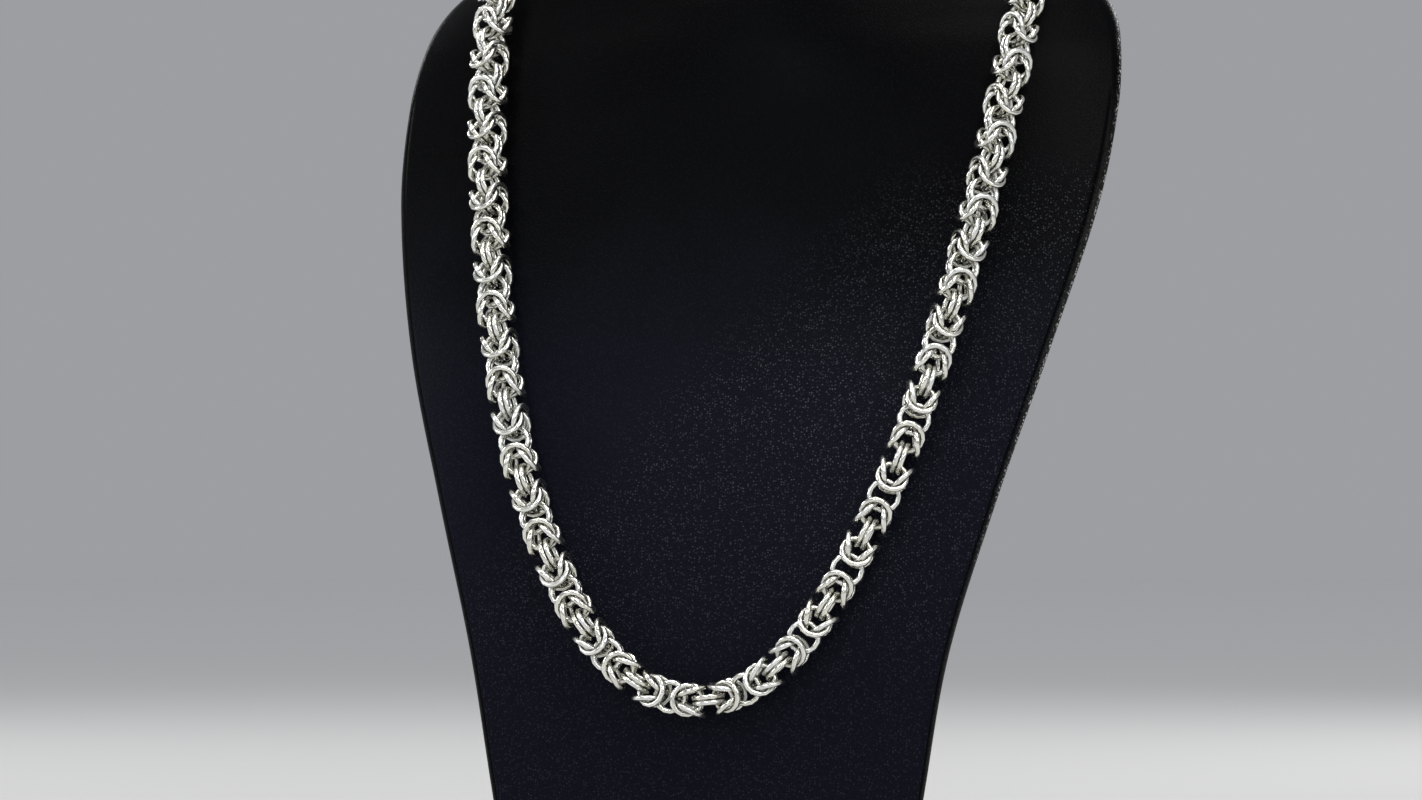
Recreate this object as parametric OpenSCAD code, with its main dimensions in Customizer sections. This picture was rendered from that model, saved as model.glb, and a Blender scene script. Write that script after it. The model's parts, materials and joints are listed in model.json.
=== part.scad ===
// A Byzantine-weave silver neck chain of round rings, worn by a dark display bust.
// The front of the bust looks along -Y and its foot stands on z = 0.

/* [Rings] */
// Radius of a ring, to the middle of its wire
ring_r = 3.55; // [3.52:0.01:3.58]
// Diameter of the round wire
wire_d = 1.25; // [0.9:0.05:1.25]
// Distance along the chain from one connecting pair to the next
pitch = 9.83; // [9.78:0.01:9.88]
// How much closer the pairs sit where the chain turns at its lowest point
tight = 0.33; // [0.3:0.01:0.36]

/* [Chain] */
// Pairs shown on each side of the lowest one
shown = 20; // [12:1:20]
// Distance of the lowest pair from the loop's lowest point, to the bust's left
offset = 3; // [2.8:0.1:3.2]
// Diameter of the plain length that goes round behind the neck
back_d = 9.2; // [8.6:0.1:9.3]

/* [Clasp] */
// Diameter of the barrel
clasp_d = 6.6; // [5:0.1:7]
// Length of the barrel, without its loops
clasp_l = 9.2; // [8.8:0.1:9.4]

/* [Bust] */
// Height of the bust
bust_h = 280; // [270:1:290]
// Angle by which the sides draw in towards the back
taper = 18; // [16:1:20]
// Radius of the upright corners at the back
back_r = 16; // [12:1:18]
// How square the front is across: 2 is an oval, higher is flatter in the middle
flatness = 3.4; // [3:0.1:3.6]
// Half the width over which the neck swells out of the chest
neck_half = 56; // [50:1:58]
// Rounding of the foot and of the neck's top edge
edge_r = 2; // [1:0.1:2.4]

/* [Hidden] */
// The middle of the whole thing, front to back
mid_y = 42.5;
// Gap between pieces that meet
gap = 0.3;

// Sections of the bust, from the foot up.
// height, half width, depth of the rim, bulge of the front, swell of the neck, rim radius, depth of the back
sections = [
    [0,    48.3, -1,   3.5,  0,  3,  78],
    [30,   53.6, -1,   3.5,  0,  3,  82],
    [65,   59.7, 0,    4,    0,  3,  86],
    [101,  69.6, 6.5,  5.6,  0,  3,  90],
    [137,  80.1, 16.8, 7.5,  0,  3,  93],
    [173,  88.4, 34,   11,   0,  3,  96],
    [197,  90.3, 46.5, 14,   2,  3,  98],
    [212,  88.9, 55,   15.5, 5,  4,  98],
    [221,  85.7, 61.5, 15.5, 8,  5,  97.5],
    [228,  79.2, 66,   15,   9,  7,  96],
    [235,  66,   67,   13,  5.5, 14, 92],
    [243,  52,   67,   8,    2,  20, 89],
    [255,  45.5, 67,   3.5,  0,  24, 87],
    [bust_h, 44, 70,   3,    0,  25, 90]
];

// The loop that the chain lies on, from its lowest point up, over the shoulder and round to the
// nape. It hangs a little to the bust's left: aside moves both halves that way, and back is how
// much deeper the left half then lies than the middle of the two.
// across, depth, height, aside, back
half_route = [
    [0,    -12.6, 53.9,  1,    0],
    [10.8, -12.6, 56.1,  0.9,  0],
    [20.8, -12.1, 63.1,  0.85, 0],
    [30.7, -10.7, 75.3,  0.85, 0],
    [38.3, -8.4,  89.2,  0.95, 0.1],
    [43.9, -5.8,  102,   1.1,  0.1],
    [48.8, -2.8,  116,   1.3,  0.15],
    [53.1, 1.6,   132,   1.4,  0.2],
    [57.4, 8,     150,   1.45, 0.2],
    [61.4, 16.9,  171,   1.3,  0.2],
    [64.3, 25.6,  190,   0.9,  0.2],
    [66.3, 34,    208,   0.75, 0.2],
    [67.3, 43.5,  224.2, 0.6,  0.2],
    [67,   54,    236.4, 0.3,  0],
    [62.7, 65.5,  243,   0.2,  0],
    [56.5, 76,    245.4, 0.1,  0],
    [49,   87,    246.4, 0,    0],
    [38.5, 94.6,  243.2, 0,    0],
    [22,   96.8,  238,   0,    0],
    [0,    97.4,  235.6, 0,    0]
];

// The chain rolls as it climbs. Its face looks straight forward at 0 and to the bust's left at 90.
// pair, direction of the face
facing = [
    [-24, -34], [-20, -28], [-14, -6], [-8, 1], [-4, 3], [-1, 9],
    [5, 7], [9, 17], [13, 33], [17, 47], [20, 53], [24, 60]
];

// Places of the rings, for a straight stretch and for the tightest turn.
// half gap between connecting rings, spread of the knot rings, their rise, their lean
straight = [0.71, 2.32, 0.14, 27];
turned = [0.69, 2.11, 0.18, 23.7];
// Turn from one pair to the next at which a knot has the second set of places
full_turn = 20;

function unit(v) = v / norm(v);
function last(v) = v[len(v) - 1];

// The slope of a table's column at row i, from its neighbours
function slope(t, i, c) =
    let (a = max(i - 1, 0), b = min(i + 1, len(t) - 1))
    (t[b][c] - t[a][c]) / (t[b][0] - t[a][0]);
// The row of table t that a value z lies above
function row_of(t, z) = min(len([for (r = t) if (r[0] <= z) r]), len(t) - 1) - 1;
// A smooth curve through column c of table t, read at z
function smooth(t, z, c) =
    let (
        i = row_of(t, z),
        h = t[i + 1][0] - t[i][0],
        u = (z - t[i][0]) / h
    )
    (2 * u ^ 3 - 3 * u ^ 2 + 1) * t[i][c] + (u ^ 3 - 2 * u ^ 2 + u) * h * slope(t, i, c)
    + (3 * u ^ 2 - 2 * u ^ 3) * t[i + 1][c] + (u ^ 3 - u ^ 2) * h * slope(t, i + 1, c);

// How far the foot and the neck's top are drawn in at height z
function inset(z) =
    let (d = max(edge_r - z, z - (bust_h - edge_r), 0))
    edge_r - sqrt(max(edge_r ^ 2 - d ^ 2, 0));

// Right half of a section at height z: the front, the rim's arc and the arc of the back corner
function half_section(z) =
    let (
        in = inset(z),
        w = smooth(sections, z, 1),
        cy = smooth(sections, z, 2),
        bulge = smooth(sections, z, 3),
        swell = smooth(sections, z, 4),
        full_r = smooth(sections, z, 5),
        back = smooth(sections, z, 6),
        cx = w - full_r,
        rim_r = full_r - in,
        lean = atan(bulge * flatness / w),
        edge = [cx + rim_r * sin(lean), cy - rim_r * cos(lean)],
        q = min(neck_half, edge[0]),
        corner_y = back - back_r,
        corner_x = (cx * cos(taper) + cy * sin(taper) - back_r + full_r - corner_y * sin(taper)) / cos(taper)
    )
    [
        for (i = [0:12]) let (u = i / 13, x = edge[0] * u)
            [x, edge[1] - bulge * (1 - u ^ flatness) - swell * max(1 - (x / q) ^ 2, 0) ^ 2],
        for (i = [0:5]) let (a = lean - 90 + (taper + 90 - lean) * i / 5)
            [cx + rim_r * cos(a), cy + rim_r * sin(a)],
        for (i = [0:5]) let (a = taper + (90 - taper) * i / 5)
            [corner_x + (back_r - in) * cos(a), corner_y + (back_r - in) * sin(a)]
    ];
// The whole section, once round, as points at height z
function section(z) =
    let (h = half_section(z), n = len(h))
    [
        for (p = h) [p[0], p[1] - mid_y, z],
        for (i = [n - 1:-1:1]) [-h[i][0], h[i][1] - mid_y, z]
    ];

// Heights of the bust's sections, closer at the rounded edges and over the shoulders
heights = [
    for (i = [0:3]) edge_r * (1 - cos(i * 30)),
    for (z = [10:9:190]) z,
    for (z = [196:3:250]) z,
    for (z = [256:6:bust_h - 6]) z,
    for (i = [0:3]) bust_h - edge_r + edge_r * sin(i * 30)
];

// A closed skin over rings of points, each with the same number of them
module skin(rings) {
    n = len(rings[0]);
    m = len(rings);
    polyhedron(
        points = [for (r = rings) each r],
        faces = [
            [for (i = [0:n - 1]) i],
            for (j = [0:m - 2], i = [0:n - 1]) let (k = (i + 1) % n)
                each [[j * n + i, j * n + n + i, j * n + k], [j * n + k, j * n + n + i, j * n + n + k]],
            [for (i = [n - 1:-1:0]) (m - 1) * n + i]
        ]
    );
}

// The loop's points, all the way round from the lowest one
loop = [
    for (p = half_route) [p[3] + p[0], p[1] + p[4] - mid_y, p[2]],
    for (i = [len(half_route) - 2:-1:1]) let (p = half_route[i]) [p[3] - p[0], p[1] - p[4] - mid_y, p[2]]
];
count = len(loop);
function knot_point(i) = loop[(i + count) % count];
function span(i) = norm(knot_point(i + 1) - knot_point(i));
// Direction at a point of the loop, weighed by the spans before and after it
function lead(i) =
    let (a = span(i - 1), b = span(i))
    ((knot_point(i + 1) - knot_point(i)) / b * a + (knot_point(i) - knot_point(i - 1)) / a * b) / (a + b);
// A point on the loop's smooth curve, at share u of span i
function on_loop(i, u) =
    (2 * u ^ 3 - 3 * u ^ 2 + 1) * knot_point(i) + (u ^ 3 - 2 * u ^ 2 + u) * span(i) * lead(i)
    + (3 * u ^ 2 - 2 * u ^ 3) * knot_point(i + 1) + (u ^ 3 - u ^ 2) * span(i) * lead(i + 1);
fine = 24;
curve = [for (i = [0:count - 1], j = [0:fine - 1]) on_loop(i, j / fine), loop[0]];
// Distance run along the loop at each point of the curve
run = [for (i = 0, s = 0; i < len(curve); s = s + (i < len(curve) - 1 ? norm(curve[i + 1] - curve[i]) : 0), i = i + 1) s];
loop_l = last(run);
along = [for (c = [0:2]) [for (i = [0:len(curve) - 1]) [run[i], curve[i][c]]]];
function at(s) =
    let (q = (s % loop_l + loop_l) % loop_l)
    [for (c = [0:2]) lookup(q, along[c])];
function heading(s) = unit(at(s + 0.5) - at(s - 0.5));
// Distance along the loop of pair k, or of the middle of a knot at k + 0.5
function station(k) = offset + pitch * k - tight * max(-5, min(5, k));

// Axes at pair k: across the chain, out of its face, and along it
function axes(k) =
    let (
        t = heading(station(k)),
        a = lookup(k, facing),
        f = [sin(a), -cos(a), 0],
        out = unit(f - (f * t) * t)
    )
    [cross(out, t), out, t];
// A vector in the axes of a pair, turned a quarter round the chain at every other pair
function placed(ax, k, v) =
    let (w = k % 2 == 0 ? v : [-v[1], v[0], v[2]])
    w[0] * ax[0] + w[1] * ax[1] + w[2] * ax[2];
// Places of the rings where the chain turns by the given angle from pair to pair
function places(turn) = straight + (turned - straight) * min(turn / full_turn, 1);
function turn_at(k) = acos(min(1, heading(station(k - 0.5)) * heading(station(k + 0.5))));

module ring(centre, normal) {
    translate(centre)
        rotate([0, acos(normal[2]), atan2(normal[1], normal[0])])
            rotate_extrude($fn = 32)
                translate([ring_r, 0])
                    circle(d = wire_d, $fn = 16);
}

// Two rings side by side that join one knot to the next
module connecting_pair(k) {
    ax = axes(k);
    mid = at(station(k));
    p = places(turn_at(k));
    for (s = [-1, 1])
        ring(mid + placed(ax, k, [s * p[0], 0, 0]), placed(ax, k, [1, 0, 0]));
}

// Four rings folded through each other, between pair k and the next
module knot(k) {
    ax = axes(k + 0.5);
    mid = at(station(k + 0.5));
    p = places(turn_at(k + 0.5));
    for (s = [-1, 1]) {
        ring(mid + placed(ax, k, [0, s * p[1], p[2]]), placed(ax, k, [0, s * cos(p[3]), -sin(p[3])]));
        ring(mid + placed(ax, k, [s * p[1], 0, -p[2]]), placed(ax, k, [s * cos(p[3]), 0, sin(p[3])]));
    }
}

// A round length along the loop, from distance a to distance b
module round_length(a, b) {
    steps = ceil((b - a) / 3);
    skin([
        for (i = [0:steps]) let (
            s = a + (b - a) * i / steps,
            t = heading(s),
            side = unit(cross(t, [0, 0.6, 1])),
            up = cross(side, t)
        )
            [for (j = [0:11]) at(s) + back_d / 2 * (cos(j * 30) * side + sin(j * 30) * up)]
    ]);
}

module bust_form() {
    color([0.06, 0.065, 0.09])
        skin([for (z = heights) section(z)]);
}

module chain_front() {
    color([0.86, 0.85, 0.82]) {
        for (k = [-shown:shown]) connecting_pair(k);
        for (k = [-shown:shown - 1]) knot(k);
    }
}

// The clasp sits halfway along the plain length
clasp_s = (station(shown) + station(-shown) + loop_l) / 2;
// Distance from the clasp's middle to the ends of its loops
loop_wire = 1;
loop_r = 1.7;
clasp_reach = clasp_l / 2 + 2 * loop_r;
end_space = ring_r + wire_d / 2 + gap;

module chain_back() {
    color([0.86, 0.85, 0.82]) {
        round_length(station(shown) + end_space, clasp_s - clasp_reach - loop_wire / 2 - gap);
        round_length(clasp_s + clasp_reach + loop_wire / 2 + gap, loop_l + station(-shown) - end_space);
    }
}

module clasp() {
    t = heading(clasp_s);
    color([0.86, 0.85, 0.82])
        translate(at(clasp_s))
            rotate([0, acos(t[2]), atan2(t[1], t[0])]) {
                cylinder(d = clasp_d, h = clasp_l - 1, center = true, $fn = 48);
                cylinder(d = clasp_d - 1.6, h = clasp_l, center = true, $fn = 48);
                for (s = [-1, 1])
                    translate([0, 0, s * (clasp_l / 2 + loop_r)])
                        rotate([90, 0, 0])
                            rotate_extrude($fn = 32)
                                translate([loop_r, 0])
                                    circle(d = loop_wire, $fn = 16);
            }
}

bust_form();
chain_front();
chain_back();
clasp();
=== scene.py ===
# A silver Byzantine chain of interlocked rings on a dark leatherette neck bust.
import json
import math
import bpy
import numpy as np
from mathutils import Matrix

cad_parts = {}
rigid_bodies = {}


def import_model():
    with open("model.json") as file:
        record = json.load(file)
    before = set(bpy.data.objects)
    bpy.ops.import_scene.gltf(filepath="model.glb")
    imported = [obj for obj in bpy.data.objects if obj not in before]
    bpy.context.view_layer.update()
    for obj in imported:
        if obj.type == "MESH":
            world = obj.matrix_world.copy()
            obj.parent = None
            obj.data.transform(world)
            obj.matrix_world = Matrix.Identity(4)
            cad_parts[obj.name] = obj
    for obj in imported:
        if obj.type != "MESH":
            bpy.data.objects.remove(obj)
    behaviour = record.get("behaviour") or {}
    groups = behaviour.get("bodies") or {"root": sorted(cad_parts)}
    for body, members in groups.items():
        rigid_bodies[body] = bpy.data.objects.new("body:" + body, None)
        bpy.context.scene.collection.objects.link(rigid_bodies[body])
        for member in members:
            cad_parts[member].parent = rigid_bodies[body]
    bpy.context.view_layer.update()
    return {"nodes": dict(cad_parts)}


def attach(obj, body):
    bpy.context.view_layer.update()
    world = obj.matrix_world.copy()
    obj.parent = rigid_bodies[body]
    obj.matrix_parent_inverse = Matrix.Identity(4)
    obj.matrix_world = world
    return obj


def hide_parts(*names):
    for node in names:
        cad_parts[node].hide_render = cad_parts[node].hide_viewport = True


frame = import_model()
mm = 0.001
middleDepth = 42.5  # where the whole thing's middle lies, in the depths of the tables below
print("frame loaded:", len(frame["nodes"]), "nodes")


# Shader nodes

class Wire:
    # One value in a material. Sums and products of wires add the Math nodes that work them out.
    def __init__(self, bench, socket):
        self.bench, self.socket = bench, socket

    def sum(self, operation, first, second):
        return self.bench.node("ShaderNodeMath", {"operation": operation}, {0: first, 1: second})

    def __add__(self, other): return self.sum("ADD", self, other)
    def __radd__(self, other): return self.sum("ADD", other, self)
    def __sub__(self, other): return self.sum("SUBTRACT", self, other)
    def __rsub__(self, other): return self.sum("SUBTRACT", other, self)
    def __mul__(self, other): return self.sum("MULTIPLY", self, other)
    def __rmul__(self, other): return self.sum("MULTIPLY", other, self)


class Bench:
    # One material's nodes, with its finish already joined to the output.
    def __init__(self, name, finish):
        self.material = bpy.data.materials.new(name)
        self.material.use_nodes = True
        self.tree = self.material.node_tree
        self.shader = next(n for n in self.tree.nodes if n.type == "BSDF_PRINCIPLED")
        for socket, value in finish.items():
            self.shader.inputs[socket].default_value = value

    def node(self, kind, settings, sockets, out=0):
        # The settings come first, because some of them change the sockets.
        made = self.tree.nodes.new(kind)
        for name, value in settings.items():
            setattr(made, name, value)
        for key, value in sockets.items():
            self.plug(made.inputs[key], value)
        return Wire(self, made.outputs[out])

    def plug(self, socket, value):
        if isinstance(value, Wire):
            self.tree.links.new(value.socket, socket)
        else:
            socket.default_value = value

    def finish(self, name, value):
        self.plug(self.shader.inputs[name], value)

    def place(self):
        return self.node("ShaderNodeTexCoord", {}, {}, "Object")

    def part(self, vector, axis):
        return self.node("ShaderNodeSeparateXYZ", {}, {0: vector}, axis)

    def mark(self, name):
        return self.node("ShaderNodeAttribute", {"attribute_name": name}, {}, "Fac")

    def noise(self, where, scale, detail):
        return self.node("ShaderNodeTexNoise", {},
                         {"Vector": where, "Scale": scale, "Detail": detail})

    def blend(self, share, first, second):
        return self.node("ShaderNodeMix", {"data_type": "RGBA"}, {0: share, 6: first, 7: second}, 2)

    def step(self, value, low, high, bottom=0.0, top=1.0):
        # Goes smoothly from bottom to top while the value rises from low to high.
        return self.node("ShaderNodeMapRange", {"interpolation_type": "SMOOTHSTEP"},
                         {0: value, 1: low, 2: high, 3: bottom, 4: top})

    def bump(self, height, depth):
        bumped = self.node("ShaderNodeBump", {}, {"Height": height, "Distance": depth})
        self.finish("Normal", bumped)


# Meshes

def gridFaces(rows, columns, closeColumns=False, closeRows=False):
    # Quads between neighbouring points of a grid, whose points are counted row by row.
    i = np.arange(rows if closeRows else rows - 1)[:, None]
    j = np.arange(columns if closeColumns else columns - 1)[None, :]
    below, above = i * columns, (i + 1) % rows * columns
    right = (j + 1) % columns
    return np.stack([below + j, below + right, above + right, above + j], axis=-1).reshape(-1, 4)


def makePiece(name, points, faces, material, marks=None, wrap=None):
    # Puts arrays of points and quads, or a list of polygons, into a mesh object. A mark is one
    # value for each point, and the wrap is a UV pair for each corner of each quad.
    mesh = bpy.data.meshes.new(name)
    points = np.asarray(points, float).reshape(-1, 3)
    if isinstance(faces, np.ndarray):
        mesh.vertices.add(len(points))
        mesh.vertices.foreach_set("co", points.ravel())
        mesh.loops.add(faces.size)
        mesh.loops.foreach_set("vertex_index", faces.ravel().astype(np.int32))
        mesh.polygons.add(len(faces))
        mesh.polygons.foreach_set("loop_start", np.arange(0, faces.size, 4, dtype=np.int32))
    else:
        mesh.from_pydata(points.tolist(), [], faces)
    mesh.update(calc_edges=True)
    mesh.validate()
    mesh.polygons.foreach_set("use_smooth", np.full(len(mesh.polygons), True))
    if wrap is not None:
        layer = mesh.uv_layers.new(name="wrap")
        layer.data.foreach_set("uv", np.asarray(wrap, np.float32).ravel())
    for mark, values in (marks or {}).items():
        layer = mesh.attributes.new(mark, "FLOAT", "POINT")
        layer.data.foreach_set("value", np.asarray(values, np.float32).ravel())
    piece = bpy.data.objects.new(name, mesh)
    bpy.context.scene.collection.objects.link(piece)
    mesh.materials.append(material)
    return piece


def hermite(u, first, second, slopeFirst, slopeSecond):
    # The cubic that leaves first with one slope and reaches second with the other.
    return ((2 * u ** 3 - 3 * u ** 2 + 1) * first + (u ** 3 - 2 * u ** 2 + u) * slopeFirst
            + (3 * u ** 2 - 2 * u ** 3) * second + (u ** 3 - u ** 2) * slopeSecond)


def unit(vectors):
    return vectors / np.linalg.norm(vectors, axis=-1, keepdims=True)


# The camera: level with the chain, sixteen degrees round to the bust's left

camera = {
    "azimuth": 16.0,
    "distance": 1920 * mm,
    "height": 125.5 * mm,
    "aside": 0.84 * mm,  # the picture's middle is this far right of the bust's
    "pictureWidth": 1422,
    "pixel": 0.24 * mm,  # what one pixel of the picture covers at that distance
    "farthest": 50,
}


def makeCamera(c, frontDepth):
    turn = math.radians(c["azimuth"])
    right = np.array([math.cos(turn), math.sin(turn), 0])
    away = np.array([-math.sin(turn), math.cos(turn), 0])
    target = np.array([0, frontDepth, c["height"]]) + c["aside"] * right
    data = bpy.data.cameras.new("photoCamera")
    data.lens = data.sensor_width * c["distance"] / (c["pictureWidth"] * c["pixel"])
    data.clip_end = c["farthest"]
    eye = bpy.data.objects.new("photoCamera", data)
    eye.location = target - away * c["distance"]
    eye.rotation_euler = (math.pi / 2, 0, turn)
    bpy.context.scene.collection.objects.link(eye)
    bpy.context.scene.camera = eye


frontMiddle = -middleDepth * mm
makeCamera(camera, frontMiddle)
print("camera set")


# The bust

bust = {
    "height": 280.0,
    "taper": 18.0,  # how far the sides draw in towards the back, in degrees
    "backRadius": 16.0,
    "flatness": 3.4,  # how square the front is across
    "neckHalf": 56.0,  # half the width over which the neck swells out of the chest
    "edge": 2.0,  # rounding of the foot and of the neck's top
    # the crease on the rim's arc: where it runs at heights up the bust, in degrees from straight
    # out to the side, and the heights between which it runs out towards the shoulders
    "creaseHeights": [32, 53, 77, 101, 125, 149, 173],
    "creaseLeft": [-31, -33, -36, -39, -48, -51, -58],
    "creaseRight": [-57] * 7,
    "creaseEnds": [176, 202],
    "creaseWidth": 0.42,
    "creaseDepth": 0.45,
    "thinnestRim": 1.5,  # radius below which the rim has no room for the dent
    "bandStart": 1.6,  # crease widths over which the band of wear and painted rim highlight comes in outside the crease
    "creaseShadeWidth": 1.1,  # width of the crease's painted shade line, in crease widths
    "sideWearAndHighlight": 0.35,  # how much of the band's colour, wear and painted rim highlight, the sides take
    # painted glints along a line on the same arc: they come and go between these heights, and the
    # line's place and width are in radians
    "glintLineHeights": [80, 112, 210, 220],
    "glintLineAngle": -0.17,
    "glintLineWidth": 0.19,
    # points along each part of a half section, and the heights of the sections: from, to, step
    "front": 64, "rim": 34, "side": 26, "corner": 12, "back": 14,
    "sections": [(4, 190, 1.7), (190, 252, 1.0), (252, 277.5, 1.7)],
    "edgeSections": 7,
    "capRings": [0.02, 0.3, 0.6, 0.85],  # sizes of the rings that fill the foot and the neck's top
}
# height, half width, depth of the rim, bulge of the front, swell of the neck, radius of the rim,
# depth of the back
bustSections = np.array([
    [0, 48.3, -1, 3.5, 0, 3, 78],
    [30, 53.6, -1, 3.5, 0, 3, 82],
    [65, 59.7, 0, 4, 0, 3, 86],
    [101, 69.6, 6.5, 5.6, 0, 3, 90],
    [137, 80.1, 16.8, 7.5, 0, 3, 93],
    [173, 88.4, 34, 11, 0, 3, 96],
    [197, 90.3, 46.5, 14, 2, 3, 98],
    [212, 88.9, 55, 15.5, 5, 4, 98],
    [221, 85.7, 61.5, 15.5, 8, 5, 97.5],
    [228, 79.2, 66, 15, 9, 7, 96],
    [235, 66, 67, 13, 5.5, 14, 92],
    [243, 52, 67, 8, 2, 20, 89],
    [255, 45.5, 67, 3.5, 0, 24, 87],
    [280, 44, 70, 3, 0, 25, 90],
], float)


def smoothColumns(table, z):
    # Cubic curves through every column of a table at once, read at heights z. The slope at a row
    # is that of the line between its neighbours.
    at = table[:, 0]
    slopes = np.empty_like(table)
    slopes[1:-1] = (table[2:] - table[:-2]) / (at[2:] - at[:-2])[:, None]
    slopes[0] = (table[1] - table[0]) / (at[1] - at[0])
    slopes[-1] = (table[-1] - table[-2]) / (at[-1] - at[-2])
    i = np.clip(np.searchsorted(at, z, side="right") - 1, 0, len(at) - 2)
    h = (at[i + 1] - at[i])[:, None]
    u = (z - at[i])[:, None] / h
    return hermite(u, table[i], table[i + 1], slopes[i] * h, slopes[i + 1] * h)


def bustSkin(b, z):
    # Half sections at heights z. Across the front the depth falls by
    # bulge * (1 - u ** flatness), with the neck's swell on top. Then come the rim's arc with its
    # crease and a line of painted glints, a straight side, the back corner's arc, and the flat
    # back.
    columns = smoothColumns(bustSections, z).T[:, :, None]
    _, w, rimDepth, bulge, swell, fullRadius, back = columns
    fromEnd = np.maximum(np.maximum(b["edge"] - z, z - (b["height"] - b["edge"])), 0)
    inset = (b["edge"] - np.sqrt(np.maximum(b["edge"] ** 2 - fromEnd ** 2, 0)))[:, None]
    centre, radius = w - fullRadius, fullRadius - inset
    lean = np.arctan(bulge * b["flatness"] / w)
    edgeX, edgeY = centre + radius * np.sin(lean), rimDepth - radius * np.cos(lean)

    u = 1 - (1 - np.linspace(0, 1, b["front"])) ** 1.15  # a little closer towards the rim
    x = edgeX * u
    hump = np.clip(1 - (x / np.minimum(b["neckHalf"], edgeX)) ** 2, 0, None) ** 2
    frontY = edgeY - bulge * (1 - u ** b["flatness"]) - swell * hump
    front = np.stack([x, frontY], -1)

    taper = math.radians(b["taper"])
    angle = (lean - math.pi / 2) + (taper + math.pi / 2 - lean) * np.linspace(0, 1, b["rim"])[1:]
    cornerY = back - b["backRadius"]
    cornerX = (centre * math.cos(taper) + rimDepth * math.sin(taper) - b["backRadius"] + fullRadius
               - cornerY * math.sin(taper)) / math.cos(taper)
    turn = np.linspace(taper, math.pi / 2, b["corner"])
    corner = np.stack([cornerX + (b["backRadius"] - inset) * np.cos(turn),
                       cornerY + (b["backRadius"] - inset) * np.sin(turn)], -1)
    t = np.linspace(0, 1, b["back"])[1:, None]
    flat = corner[:, -1:] * (1 - t) + corner[:, -1:] * [0, 1] * t
    starts, ends = b["creaseEnds"]
    low = 1 - np.clip((z - starts) / (ends - starts), 0, 1)[:, None]
    # how strongly the painted glints show at each height
    glintLineFade = np.interp(z, b["glintLineHeights"], [0, 1, 1, 0])[:, None]

    def halfSkin(creaseAngles):
        # One half from the front's middle to the back's, with its marks on the rim and the side.
        crease = np.radians(np.interp(z, b["creaseHeights"], creaseAngles))[:, None]
        fromCrease = (angle - crease) * radius / b["creaseWidth"]
        dent = b["creaseDepth"] * np.exp(-fromCrease ** 2) * low * (radius > b["thinnestRim"])
        reach = radius - dent
        rim = np.stack([centre + reach * np.cos(angle), rimDepth + reach * np.sin(angle)], -1)
        s = np.linspace(0, 1, b["side"])[1:-1, None]
        side = rim[:, -1:] * (1 - s) + corner[:, :1] * s
        half = np.concatenate([front, rim, side, corner, flat], 1)
        marks = {name: np.zeros(half.shape[:2]) for name in ("band", "crease", "glintLine")}
        first, after = front.shape[1], front.shape[1] + rim.shape[1]
        # the band of wear and painted rim highlight outside the crease
        marks["band"][:, first:after] = np.clip(fromCrease / b["bandStart"], 0, 1) * low
        marks["band"][:, after:] = b["sideWearAndHighlight"] * low
        # where the painted shade line along the crease goes
        marks["crease"][:, first:after] = np.exp(-(fromCrease / b["creaseShadeWidth"]) ** 2) * low
        # where the line of painted glints goes
        fromGlintLine = (angle - b["glintLineAngle"]) / b["glintLineWidth"]
        marks["glintLine"][:, first:after] = np.exp(-fromGlintLine ** 2) * glintLineFade
        return half, marks

    near, nearMarks = halfSkin(b["creaseLeft"])
    far, farMarks = halfSkin(b["creaseRight"])
    whole = np.concatenate([near, far[:, -2:0:-1] * [-1, 1]], 1)
    marks = {name: np.concatenate([nearMarks[name], farMarks[name][:, -2:0:-1]], 1)
             for name in nearMarks}
    heights = np.broadcast_to(z[:, None, None], whole.shape[:2] + (1,))
    return np.concatenate([whole - [0, middleDepth], heights], -1) * mm, marks


leather = {
    "pebbles": 1600.0,  # to a metre
    "unevenness": 0.95,
    "relief": 0.12,  # height of the pebbles, in millimetres
    "paintedShadeHeights": (0.10, 0.20),  # between these the navy turns to black painted shade on the way up
    "grainAndPaintedSheenLine": (-0.132, -0.104),  # across less height, where the stronger grain and the painted sheen dots come in
    "grainTop": (0.168, 0.188),
    "grainAndPaintedSheenFoot": (0.05, 0.09),
    # the black colours below are painted shade higher up the bust, the navy ones its own colour
    "paintedShadeGroove": (0.0010, 0.0010, 0.0013, 1),
    "navyGroove": (0.0050, 0.0055, 0.0096, 1),
    "paintedShadePebble": (0.0015, 0.0016, 0.0021, 1),
    "navyPebble": (0.0074, 0.0082, 0.0142, 1),
    # the lighter dots' colour is a painted sheen highlight on pebble tops
    "paintedSheenDot": (0.034, 0.037, 0.046, 1),
    # the band's colour is partly wear and partly a painted rim highlight
    "wornBandAndRimHighlight": (0.021, 0.0205, 0.018, 1),
    # painted shade along the crease
    "paintedCreaseShade": (0.0006, 0.0006, 0.0008, 1),
    # the colour of the painted glints
    "paintedGlintColour": (0.80, 0.79, 0.75, 1),
}


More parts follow.
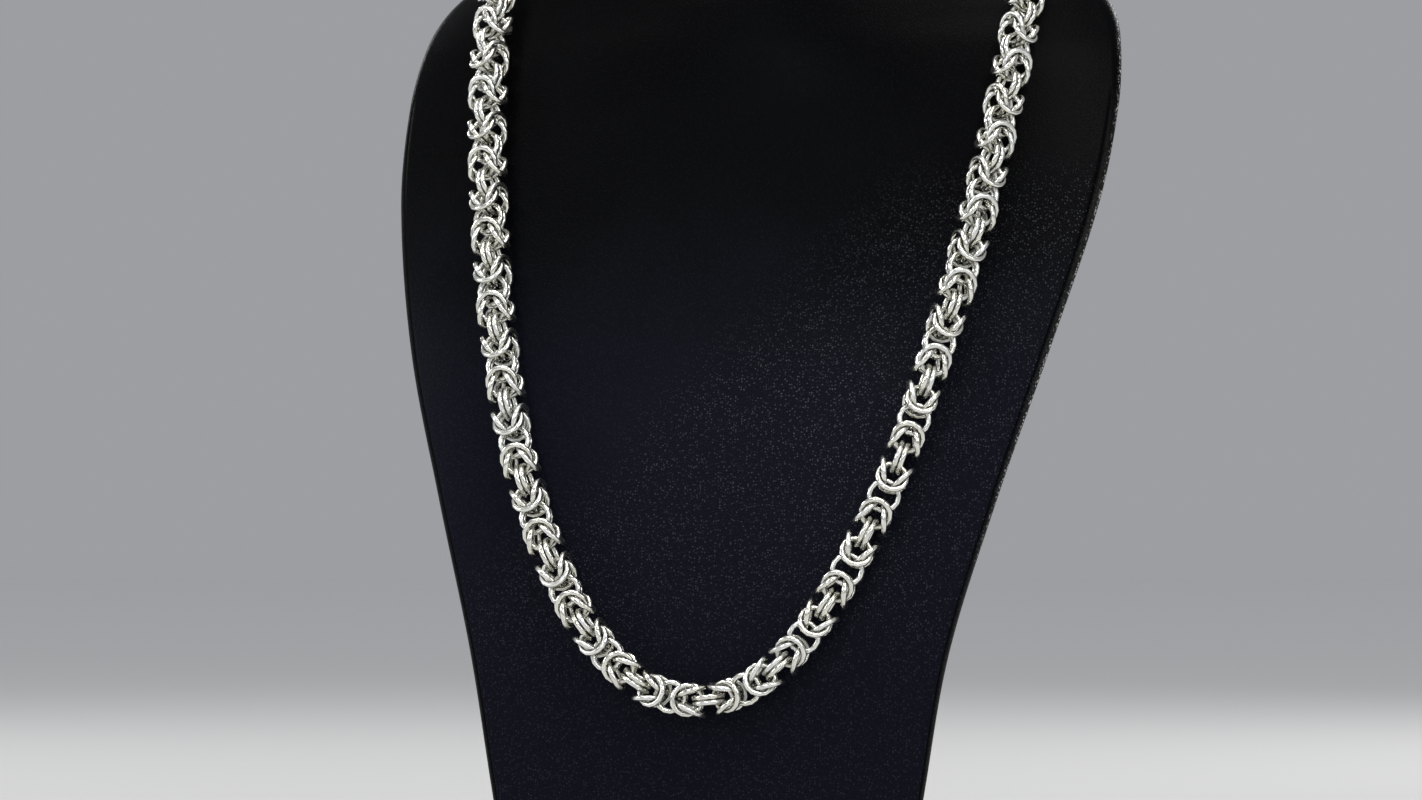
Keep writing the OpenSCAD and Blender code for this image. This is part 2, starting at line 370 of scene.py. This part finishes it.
def leatherette(c):
    # Near-black navy covering with a fine round pebble, turning black higher up in painted shade.
    # The grain stands out on the lower right, beyond a slanting line, and is nearly flat elsewhere;
    # there lighter pebble tops are painted sheen highlights. The band outside the rim's crease is
    # olive grey, partly wear and partly a painted rim highlight, the crease holds a painted shade
    # line, and a line on the band's edge carries painted glints in dots.
    b = Bench("leatherette", {"IOR": 1.5, "Specular IOR Level": 0.03,
                              "Coat Roughness": 0.30, "Coat IOR": 1.5})
    where = b.place()
    across, height = b.part(where, 0), b.part(where, 2)
    grid = {"Vector": where, "Scale": c["pebbles"], "Randomness": c["unevenness"]}
    fromTop = b.node("ShaderNodeTexVoronoi", {"feature": "F1"}, grid, "Distance")
    luck = b.part(b.node("ShaderNodeTexVoronoi", {"feature": "F1"}, grid, "Color"), 0)
    pebble = b.step(fromTop, 0.1, 0.6, 1.0, 0.0)
    dots = b.step(fromTop, 0.10, 0.42, 1.0, 0.0) * b.step(luck, 0.2, 0.9, 0.08, 1.0)
    fineGrain = b.noise(where, 3200.0, 2.0)
    patches = b.noise(where, 30.0, 3.0)
    # the region of stronger grain, which also holds the painted sheen highlights on pebble tops
    grainAndPaintedSheen = (b.step(across - height + patches * 0.03, *c["grainAndPaintedSheenLine"])
               * b.step(height, *c["grainTop"], 1.0, 0.0)
               * b.step(height, *c["grainAndPaintedSheenFoot"], 0.4, 1.0))

    # higher up the navy turns black: painted shade, mixed with random patches
    lowness = b.step(height, *c["paintedShadeHeights"], 1.0, 0.0)
    navy = b.step(lowness * 0.6 + patches * 0.3, 0.15, 0.75)
    groove = b.blend(navy, c["paintedShadeGroove"], c["navyGroove"])
    top = b.blend(navy, c["paintedShadePebble"], c["navyPebble"])
    skin = b.blend(pebble * b.step(luck, 0.0, 1.0, 0.25, 1.6), groove, top)
    # lighter pebble tops here: painted sheen highlights
    skin = b.blend(grainAndPaintedSheen * dots, skin, c["paintedSheenDot"])
    # the band outside the crease: wear and a painted rim highlight
    banded = b.blend(b.mark("band") * b.step(luck, 0.1, 0.9, 0.45, 0.8), skin, c["wornBandAndRimHighlight"])
    # a painted shade line along the crease
    withCreaseShade = b.blend(b.mark("crease") * 0.92, banded, c["paintedCreaseShade"])
    # a line of painted glints in dots on the band's edge
    glint = b.mark("glintLine") * pebble * b.step(luck, 0.3, 0.5)
    b.finish("Base Color", b.blend(glint, withCreaseShade, c["paintedGlintColour"]))
    b.finish("Roughness", b.step(fineGrain * 0.6 + patches * 0.4, 0.3, 0.7, 0.32, 0.46))
    b.finish("Coat Weight", dots * (grainAndPaintedSheen * 0.27 + 0.03) + glint * 0.9)
    b.bump((pebble * 0.9 + fineGrain * 0.2) * (grainAndPaintedSheen * 0.75 + 0.25), c["relief"] * mm)
    return b.material


def makeBust(b, material):
    # The skin runs from the middle of the foot up the sides to the middle of the neck's top.
    edge = b["edge"] * (1 - np.cos(np.linspace(0, math.pi / 2, b["edgeSections"])))
    between = [np.arange(*span) for span in b["sections"]]
    points, marks = bustSkin(b, np.concatenate([edge, *between, b["height"] - edge[::-1]]))
    columns = points.shape[1]
    caps = []
    for ring, height in ((points[0], 0.0), (points[-1], b["height"] * mm)):
        middle = np.array([0, ring[:, 1].mean(), height])
        caps.append(middle + (ring - middle) * np.array(b["capRings"])[:, None, None])
    points = np.concatenate([caps[0], points, caps[1][::-1]])
    last = (len(points) - 1) * columns
    polygons = gridFaces(len(points), columns, closeColumns=True).tolist()
    polygons += [list(range(columns))[::-1], [last + j for j in range(columns)]]
    blank = np.zeros((len(b["capRings"]), columns))
    marks = {name: np.concatenate([blank, mark, blank]) for name, mark in marks.items()}
    return makePiece("bustSkin", points, polygons, material, marks)


bustPiece = makeBust(bust, leatherette(leather))
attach(bustPiece, "root")
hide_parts("bust_form")
print("bust made:", len(bustPiece.data.polygons), "faces")


# The chain

chain = {
    "ringRadius": 3.55,
    "wireSide": 1.2,  # the wire is square, with its edges taken off
    "wireEdge": 0.32,
    "around": 14,  # sides of a ring
    "pitch": 9.83,  # from one connecting pair to the next
    "tight": 0.33,  # how much closer the pairs sit near the lowest one
    "tightPairs": 5,
    "offset": 3.0,  # distance of the lowest pair from the loop's lowest point
    "shown": 20,  # pairs on each side of the lowest one that the front part holds
    "pairs": 64,
    "fullTurn": 20.0,  # where the chain turns this much in a pitch, the turned places hold
    "sway": 1.1,  # how far a ring may lean off its place, in degrees
    "spanSteps": 60,
}
# Half the loop, from its lowest point over the shoulder to the nape. It hangs a little to the
# bust's left: aside moves both halves that way, and back is how much deeper its left half lies.
# across, depth, height, aside, back
halfRoute = np.array([
    [0, -12.6, 53.9, 1, 0],
    [10.8, -12.6, 56.1, 0.9, 0],
    [20.8, -12.1, 63.1, 0.85, 0],
    [30.7, -10.7, 75.3, 0.85, 0],
    [38.3, -8.4, 89.2, 0.95, 0.1],
    [43.9, -5.8, 102, 1.1, 0.1],
    [48.8, -2.8, 116, 1.3, 0.15],
    [53.1, 1.6, 132, 1.4, 0.2],
    [57.4, 8, 150, 1.45, 0.2],
    [61.4, 16.9, 171, 1.3, 0.2],
    [64.3, 25.6, 190, 0.9, 0.2],
    [66.3, 34, 208, 0.75, 0.2],
    [67.3, 43.5, 224.2, 0.6, 0.2],
    [67, 54, 236.4, 0.3, 0],
    [62.7, 65.5, 243, 0.2, 0],
    [56.5, 76, 245.4, 0.1, 0],
    [49, 87, 246.4, 0, 0],
    [38.5, 94.6, 243.2, 0, 0],
    [22, 96.8, 238, 0, 0],
    [0, 97.4, 235.6, 0, 0],
])
# pair, direction of the chain's face, and how far it looks up
facing = np.array([
    [-20, -28, 0],
    [-14, -6, 0],
    [-8, 1, 0],
    [-4, 3, 0],
    [-1, 9, 0],
    [5, 7, 0],
    [9, 17, 0],
    [13, 33, 0],
    [17, 47, 0],
    [20, 53, 0],
    [24, 75, 45],
    [28, 130, 60],
    [32, 180, 40],
    [36, 230, 60],
    [40, 285, 45],
    [44, 332, 0],
], float)
# half gap between connecting rings, spread of the knot rings, their rise, their lean
straightPlaces = np.array([0.71, 2.32, 0.14, 27])
turnedPlaces = np.array([0.69, 2.11, 0.18, 23.7])


def loopCurve(route, steps):
    # A closed cubic curve through the route and its mirror image. The slope at a point is that of
    # the spans beside it, each weighed by the other's length.
    across, depth, height, aside, back = route.T
    right, left = (np.stack([aside + side * across, depth + side * back - middleDepth, height], -1)
                   for side in (1, -1))
    p = np.concatenate([right, left[-2:0:-1]])
    after = np.roll(p, -1, 0) - p
    span = np.linalg.norm(after, axis=1)[:, None]
    before, spanBefore = np.roll(after, 1, 0), np.roll(span, 1, 0)
    lead = (after / span * spanBefore + before / spanBefore * span) / (span + spanBefore)
    u = np.linspace(0, 1, steps, endpoint=False)[None, :, None]
    curve = hermite(u, p[:, None], np.roll(p, -1, 0)[:, None],
                    (lead * span)[:, None], (np.roll(lead, -1, 0) * span)[:, None])
    curve = np.concatenate([curve.reshape(-1, 3), p[:1]])
    run = np.concatenate([[0], np.cumsum(np.linalg.norm(np.diff(curve, axis=0), axis=1))])
    return curve, run


loop, loopRun = loopCurve(halfRoute, chain["spanSteps"])
loopLength = loopRun[-1]


def onLoop(s):
    s = np.mod(s, loopLength)
    return np.stack([np.interp(s, loopRun, loop[:, c]) for c in range(3)], -1)


def heading(s):
    return unit(onLoop(s + 0.5) - onLoop(s - 0.5))


def station(c, k):
    # Distance along the loop of pair k. Behind the neck the pairs share the rest of it evenly.
    def shownPlace(k):
        closer = c["tight"] * np.clip(k, -c["tightPairs"], c["tightPairs"])
        return c["offset"] + c["pitch"] * k - closer
    first, last = shownPlace(c["shown"]), shownPlace(-c["shown"]) + loopLength
    hidden = first + (k - c["shown"]) / (c["pairs"] - 2 * c["shown"]) * (last - first)
    return np.where(k <= c["shown"], shownPlace(k), hidden)


def chainAxes(c, k):
    # Across the chain, out of its face, and along it, one set for each k.
    along = heading(station(c, k))
    turn, lift = (np.radians(np.interp(k, facing[:, 0], facing[:, i])) for i in (1, 2))
    look = np.stack([np.sin(turn) * np.cos(lift), -np.cos(turn) * np.cos(lift), np.sin(lift)], -1)
    out = unit(look - (look * along).sum(-1, keepdims=True) * along)
    return np.stack([np.cross(out, along), out, along], 1)


def quarterTurn(v):
    return np.stack([-v[..., 1], v[..., 0], v[..., 2]], -1)


def ringPlaces(c, k, kind):
    # Middles and normals of the rings of pair or knot k. Every other pair is a quarter turn round.
    at = k if kind == "pair" else k + 0.5
    bend = (heading(station(c, at - 0.5)) * heading(station(c, at + 0.5))).sum(-1)
    share = np.minimum(np.degrees(np.arccos(np.clip(bend, -1, 1))) / c["fullTurn"], 1)[:, None]
    gap, spread, rise, lean = (straightPlaces + (turnedPlaces - straightPlaces) * share).T
    lean, none = np.radians(lean), np.zeros(len(k))
    middles, normals = [], []
    for s in (-1, 1):
        if kind == "pair":
            middles.append(np.stack([s * gap, none, none], -1))
            normals.append(np.stack([none + 1, none, none], -1))
        else:
            middles.append(np.stack([none, s * spread, rise], -1))
            normals.append(np.stack([none, s * np.cos(lean), -np.sin(lean)], -1))
            middles.append(np.stack([s * spread, none, -rise], -1))
            normals.append(np.stack([s * np.cos(lean), none, np.sin(lean)], -1))
    middles, normals = np.stack(middles, 1), np.stack(normals, 1)
    odd = (np.mod(k, 2) == 1)[:, None, None]
    middles = np.where(odd, quarterTurn(middles), middles)
    normals = np.where(odd, quarterTurn(normals), normals)
    axes = chainAxes(c, at)
    middles = onLoop(station(c, at))[:, None] + np.einsum("krj,kjx->krx", middles, axes)
    normals = np.einsum("krj,kjx->krx", normals, axes)
    return middles.reshape(-1, 3), normals.reshape(-1, 3)


def ringMesh(c, middles, normals, seed):
    # Each ring is a square with its corners cut off, carried round a circle: a point is
    # middle + (radius + across) * (cos a * u + sin a * v) + up * normal.
    pick = np.random.default_rng(seed)
    count = len(middles)
    normals = unit(normals + np.radians(c["sway"]) * pick.uniform(-1, 1, (count, 3)))
    flat = np.hypot(normals[:, 0], normals[:, 1])
    v = np.stack([-normals[:, 1], normals[:, 0], 0 * flat], -1) / np.maximum(flat, 1e-6)[:, None]
    u = np.cross(v, normals)
    half, edge = c["wireSide"] / 2, c["wireEdge"]
    cut = half - edge
    across = np.array([half, half, cut, -cut, -half, -half, -cut, cut])
    up = np.array([-cut, cut, half, half, cut, -cut, -half, -half])
    around, sides = c["around"], len(across)

    a = np.arange(around) * 2 * math.pi / around + pick.uniform(0, 1, count)[:, None]
    spoke = np.cos(a)[..., None] * u[:, None] + np.sin(a)[..., None] * v[:, None]
    points = (middles[:, None, None]
              + (c["ringRadius"] + across)[None, None, :, None] * spoke[:, :, None]
              + up[None, None, :, None] * normals[:, None, None])
    ringStart = np.arange(count)[:, None, None] * around * sides
    faces = gridFaces(around, sides, True, True)[None] + ringStart
    tone = np.broadcast_to(pick.uniform(0, 1, count)[:, None, None], (count, around, sides))
    row, column = np.meshgrid(np.arange(around) / around, np.arange(sides) / sides, indexing="ij")
    corners = np.stack([row.ravel()[:, None] + np.array([0, 0, 1, 1]) / around,
                        column.ravel()[:, None] + np.array([0, 1, 1, 0]) / sides], -1)
    wrap = np.broadcast_to(corners, (count,) + corners.shape)
    return points * mm, faces.reshape(-1, 4), {"tone": tone}, wrap


silverTones = {
    # the edges' colour is a painted highlight, the faces' colours are their own
    "edge": (0.955, 0.945, 0.885, 1),
    "warmFace": (0.87, 0.855, 0.765, 1),
    "coolFace": (0.83, 0.855, 0.870, 1),
    "cloudedFace": (0.60, 0.585, 0.515, 1),
    # a dark colour that is partly tarnish and partly painted shade
    "tarnishAndShade": (0.055, 0.052, 0.036, 1),
    "crowding": 1.6,  # rings nearer than this, in millimetres, darken each other with tarnish and painted shade
    "polish": (0.07, 0.28),
    "scratches": 0.03,  # their depth in millimetres
}


def silver(name, c, cool):
    # Polished silver: painted highlights make it bright along the wire's edges, and it is greyer on
    # its faces, with a faint warm or cool cast from ring to ring and a dark colour where the rings
    # crowd each other, partly tarnish and partly painted shade.
    b = Bench(name, {"Metallic": 1.0, "IOR": 1.45})
    where = b.place()
    tone = b.mark("tone")
    wrap = b.part(b.node("ShaderNodeUVMap", {"uv_map": "wrap"}, {}), 1)
    onSide = b.node("ShaderNodeMath", {"operation": "FRACT"}, {0: wrap * 4})
    fromEdge = b.node("ShaderNodeMath", {"operation": "ABSOLUTE"}, {0: onSide - 0.75})
    edge = b.step(fromEdge, 0.08, 0.30, 1.0, 0.0)
    room = b.node("ShaderNodeAmbientOcclusion", {"samples": 6},
                  {"Distance": c["crowding"] * mm}, "AO")
    cloud = b.noise(where, 260.0, 3.0)
    rubbed = b.noise(where, 1900.0, 2.0)
    face = b.blend(b.step(tone, 0.35, 0.9, 0.0, cool), c["warmFace"], c["coolFace"])
    face = b.blend(b.step(cloud, 0.45, 0.7, 0.0, 0.4), face, c["cloudedFace"])
    # painted highlight along the wire's edges
    withPaintedEdgeHighlight = b.blend(edge, face, c["edge"])
    # dark colour where rings crowd: tarnish and painted shade
    b.finish("Base Color", b.blend(b.step(room, 0.15, 0.85), c["tarnishAndShade"], withPaintedEdgeHighlight))
    dull = tone * 0.3 + cloud * 0.4 + (1 - edge) * 0.3
    b.finish("Roughness", b.step(dull, 0.2, 0.8, *c["polish"]))
    b.bump(cloud * 0.7 + rubbed * 0.3, c["scratches"] * mm)
    return b.material


def makeRings(c, name, pairList, knotList, material, seed):
    pairs, knots = ringPlaces(c, pairList, "pair"), ringPlaces(c, knotList, "knot")
    middles, normals = (np.concatenate(both) for both in zip(pairs, knots))
    points, faces, marks, wrap = ringMesh(c, middles, normals, seed)
    print(name, "made:", len(middles), "rings,", len(faces), "faces")
    return makePiece(name, points, faces, material, marks, wrap)


ringSilver = silver("ringSilver", silverTones, 0.5)
shown, whole = chain["shown"], chain["pairs"]
frontRings = makeRings(chain, "frontRings", np.arange(-shown, shown + 1),
                       np.arange(-shown, shown), ringSilver, 3)
halfway = whole // 2  # the clasp takes this pair's place and the knots on both sides of it
backPairs = np.arange(shown + 1, whole - shown)
backKnots = np.arange(shown, whole - shown)
backRings = makeRings(chain, "backRings", backPairs[backPairs != halfway],
                      backKnots[(backKnots != halfway) & (backKnots != halfway - 1)], ringSilver, 4)
for piece, node in ((frontRings, "chain_front"), (backRings, "chain_back")):
    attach(piece, "root")
    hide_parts(node)

# The clasp keeps its own solid and takes the rings' silver, a little warmer.
claspNode = next(o for o in bpy.data.objects if o.type == "MESH" and o.name.startswith("clasp"))
claspSilver = silver("claspSilver", silverTones, 0.2)
for slot in claspNode.material_slots:
    slot.material = claspSilver
print("clasp finished")


# Floor and lights

studio = {
    "floorSize": 14.0,
    "floorLines": 9,
    "floorColour": (0.66, 0.655, 0.645, 1),
    # the far paper's paler colour is painted light that evens out the lamps' fall-off
    "paintedLightFarColour": (0.93, 0.925, 0.92, 1),
    "fade": (0.8, 5.0),  # the floor thins out between these distances from the foot
    "sky": (0.93, 0.95, 1.0, 1),
    "skyStrength": 0.36,
}


def makeFloor(s):
    # A flat grid on which the foot stands. Its colour pales away from the foot, painted light that
    # evens out the lamps' fall-off, and far from it the paper thins out into the sky's own tone.
    line = np.linspace(-s["floorSize"] / 2, s["floorSize"] / 2, s["floorLines"])
    across, away = np.meshgrid(line, line)
    b = Bench("floorPaper", {"Specular IOR Level": 0.2})
    where = b.place()
    grain = b.noise(where, 90.0, 3.0)
    reach = b.node("ShaderNodeVectorMath", {"operation": "LENGTH"}, {0: where}, "Value")
    far = b.step(reach, 0.3, 3.0)
    # paler with distance: painted light against the lamps' fall-off
    b.finish("Base Color", b.blend(grain * 0.04 + far * 0.96, s["floorColour"], s["paintedLightFarColour"]))
    b.finish("Roughness", b.step(grain, 0.3, 0.7, 0.75, 0.85))
    b.finish("Alpha", b.step(reach, *s["fade"], 1.0, 0.0))
    return makePiece("studioFloor", np.stack([across, away, 0 * across], -1),
                     gridFaces(len(line), len(line)), b.material)


def makeLight(name, place, target, size, energy, colour):
    # A square soft light that looks from its place at the target.
    data = bpy.data.lights.new(name, "AREA")
    data.shape, data.size, data.energy, data.color = "SQUARE", size, energy, colour
    lamp = bpy.data.objects.new(name, data)
    away = unit(np.array(place, float) - np.array(target, float))
    side = unit(np.cross([0, 0, 1], away))
    turn = np.stack([side, np.cross(away, side), away], 1)
    lamp.rotation_euler = (math.atan2(turn[2, 1], turn[2, 2]), -math.asin(turn[2, 0]),
                           math.atan2(turn[1, 0], turn[0, 0]))
    lamp.location = place
    bpy.context.scene.collection.objects.link(lamp)


def makeSky(s):
    world = bpy.data.worlds.new("studioSky")
    world.use_nodes = True
    background = world.node_tree.nodes["Background"]
    background.inputs[0].default_value = s["sky"]
    background.inputs[1].default_value = s["skyStrength"]
    bpy.context.scene.world = world


makeFloor(studio)
makeSky(studio)
aim = (0, frontMiddle, 0.14)
# place, size, energy, colour
lights = {
    "keyLight": ((-0.70, -0.75, 1.62), 0.60, 4.3, (1.0, 0.99, 0.97)),
    "ceilingLight": ((0.0, -0.10, 1.60), 0.60, 5.5, (1.0, 1.0, 1.0)),
    "highRightLight": ((0.75, -0.75, 1.50), 0.50, 6.7, (1.0, 0.99, 0.97)),
    "sheenLight": ((-0.24, -1.39, 0.86), 0.16, 2.8, (0.84, 0.90, 1.0)),
    "frontLight": ((0.0, -1.80, 0.55), 0.40, 1.5, (0.88, 0.93, 1.0)),
    "leftLight": ((-1.40, -0.60, 0.65), 0.55, 4.5, (1.0, 1.0, 1.0)),
    "rightLight": ((1.35, -0.75, 0.70), 0.55, 2.5, (0.97, 0.98, 1.0)),
    "nearRightLight": ((0.85, -1.35, 0.80), 0.40, 2.0, (0.92, 0.96, 1.0)),
    "edgeLight": ((0.35, 1.15, 0.62), 0.20, 3.4, (1.0, 1.0, 1.0)),
    "leftEdgeLight": ((-0.95, 0.75, 0.60), 0.30, 1.7, (1.0, 1.0, 1.0)),
}
for name, (place, size, energy, colour) in lights.items():
    makeLight(name, place, aim, size, energy, colour)
bpy.context.scene.view_settings.view_transform = "Standard"
print("studio set")
